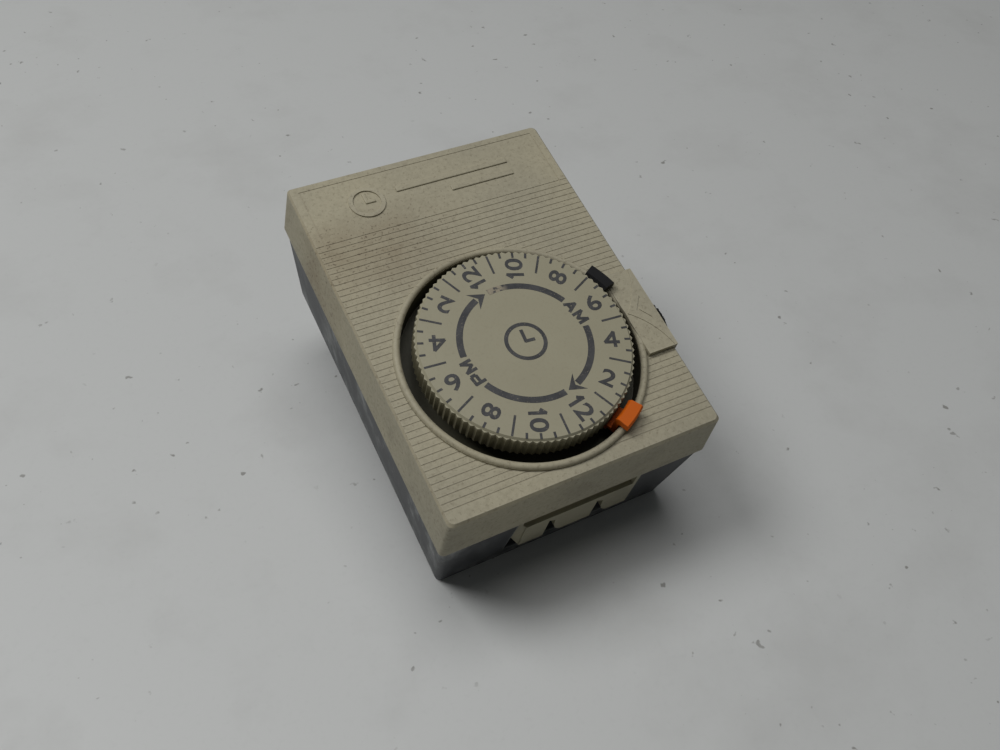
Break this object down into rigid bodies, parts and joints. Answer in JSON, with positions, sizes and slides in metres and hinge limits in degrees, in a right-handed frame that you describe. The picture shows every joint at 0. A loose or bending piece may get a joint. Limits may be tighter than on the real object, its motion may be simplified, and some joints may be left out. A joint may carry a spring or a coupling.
{
  "type": "plug-in 24 hour appliance timer with a rotary dial",
  "caption": "Plug-in wall timer: ribbed beige front with a turning 24 hour dial, clip-on trippers and a side knob, dark tapered back shell with flat blades and a receptacle in its lower end.",
  "frame": {"origin": "centre of the flat back face that meets the wall plate", "axes": "+X to the right of the front, on the manual knob's side, +Y toward the top end, away from the receptacle, +Z out of the dial, away from the wall"},
  "size_m": [0.0729, 0.0936, 0.0617],
  "materials": {
    "cover_beige": "moulded, lightly worn and stained",
    "case_dark": "moulded, scuffed along its edges",
    "receptacle_beige": "moulded",
    "dial_cream": "moulded, printed in grey",
    "tripper_black": "moulded",
    "tripper_orange": "moulded",
    "steel": "turned",
    "plate_steel": "stamped",
    "core_steel": "stack of stamped sheets",
    "blade_nickel": "nickel plated brass",
    "brass": "stamped",
    "copper": "stamped strip",
    "silver_contact": "pressed",
    "spring_steel": "rolled",
    "nylon": "moulded",
    "bobbin_nylon": "moulded",
    "winding_tape": "wrapped in yellow tape",
    "magnet": "sintered ferrite",
    "lead_black": "insulated wire",
    "fibre_brown": "pressed fibre"
  },
  "bodies": {
    "case": {"front_cover": "cover_beige", "rear_case": "case_dark", "case_screws": "steel", "receptacle_block": "receptacle_beige", "receptacle_contact_neutral": "brass", "receptacle_contact_load": "brass", "insulating_card": "fibre_brown", "plug_blade_neutral": "blade_nickel", "plug_blade_line": "blade_nickel", "blade_rivets": "brass", "neutral_bus": "copper", "line_bus": "copper", "load_lead": "lead_black", "motor_lead_line": "lead_black", "motor_lead_neutral": "lead_black", "dial_spindle": "steel", "detent_spring": "spring_steel", "knob_bracket": "nylon", "switch_base": "fibre_brown", "contact_anchor": "brass", "fixed_contact": "silver_contact", "motor_core": "core_steel", "coil_bobbin": "bobbin_nylon", "coil_winding": "winding_tape", "rotor_bridge": "steel", "motor_screws": "steel", "rear_plate": "plate_steel", "front_bridge": "plate_steel", "plate_pillars": "brass", "plate_screws": "steel", "wheel_arbors": "steel"},
    "dial": {"dial": "dial_cream", "dial_retaining_ring": "steel", "clutch_washer": "brass", "clutch_collar": "steel"},
    "on_tripper": {"on_tripper": "tripper_black"},
    "off_tripper": {"off_tripper": "tripper_orange"},
    "clutch": {"clutch_gear": "nylon"},
    "knob": {"manual_knob": "tripper_black", "knob_shaft": "steel", "on_star_wheel": "nylon", "off_star_wheel": "nylon", "detent_wheel": "nylon", "switch_cam": "nylon"},
    "contact_arm": {"contact_leaf": "brass", "moving_contact": "silver_contact"},
    "rotor": {"rotor_magnet": "magnet", "rotor_arbor": "steel"},
    "wheel_1": {"wheel_1": "nylon"},
    "wheel_2": {"wheel_2": "nylon"},
    "wheel_3": {"wheel_3": "nylon"},
    "wheel_4": {"wheel_4": "nylon"},
    "wheel_5": {"wheel_5": "nylon"}
  },
  "joints": [
    {"name": "dial_turn", "type": "hinge", "parent": "case", "child": "dial", "pos_m": [-0.001, -0.0145, 0.041], "axis": [0, 0, 1], "continuous": true},
    {"name": "on_tripper_slide", "type": "hinge", "parent": "dial", "child": "on_tripper", "pos_m": [-0.001, -0.0145, 0.041], "axis": [0, 0, 1], "range_deg": [-10, 250]},
    {"name": "off_tripper_slide", "type": "hinge", "parent": "dial", "child": "off_tripper", "pos_m": [-0.001, -0.0145, 0.041], "axis": [0, 0, 1], "range_deg": [-250, 45]},
    {"name": "knob_turn", "type": "hinge", "parent": "case", "child": "knob", "pos_m": [0.034, -0.0145, 0.0295], "axis": [1, 0, 0], "continuous": true, "deforming": ["detent_spring", "contact_leaf"]},
    {"name": "contact_arm_bend", "type": "hinge", "parent": "case", "child": "contact_arm", "pos_m": [0.02995, 0.009, 0.0255], "axis": [1, 0, 0], "range_deg": [0, 2.6], "stiffness_Nm_per_rad": 0.02},
    {"name": "rotor_spin", "type": "hinge", "parent": "case", "child": "rotor", "pos_m": [-0.00699, 0.01852, 0.01], "axis": [0, 0, 1], "continuous": true},
    {"name": "wheel_1_turn", "type": "hinge", "parent": "case", "child": "wheel_1", "pos_m": [0.00017, 0.00707, 0.01825], "axis": [0, 0, 1], "continuous": true},
    {"name": "wheel_2_turn", "type": "hinge", "parent": "case", "child": "wheel_2", "pos_m": [0.01346, 0.00941, 0.02025], "axis": [0, 0, 1], "continuous": true},
    {"name": "wheel_3_turn", "type": "hinge", "parent": "case", "child": "wheel_3", "pos_m": [0.00017, 0.00707, 0.02225], "axis": [0, 0, 1], "continuous": true},
    {"name": "wheel_4_turn", "type": "hinge", "parent": "case", "child": "wheel_4", "pos_m": [0.01346, 0.00941, 0.02425], "axis": [0, 0, 1], "continuous": true},
    {"name": "wheel_5_turn", "type": "hinge", "parent": "case", "child": "wheel_5", "pos_m": [0.00017, 0.00707, 0.02625], "axis": [0, 0, 1], "continuous": true},
    {"name": "clutch_turn", "type": "hinge", "parent": "case", "child": "clutch", "pos_m": [-0.001, -0.0145, 0.0284], "axis": [0, 0, 1], "continuous": true}
  ],
  "couplings": [
    {"joint": "wheel_1_turn", "follows": "rotor_spin", "ratio": -0.11111},
    {"joint": "wheel_2_turn", "follows": "rotor_spin", "ratio": 0.012346},
    {"joint": "wheel_3_turn", "follows": "rotor_spin", "ratio": -0.0015432},
    {"joint": "wheel_4_turn", "follows": "rotor_spin", "ratio": 0.0001929},
    {"joint": "wheel_5_turn", "follows": "rotor_spin", "ratio": -0.00003858},
    {"joint": "clutch_turn", "follows": "rotor_spin", "ratio": 0.0000030864}
  ]
}
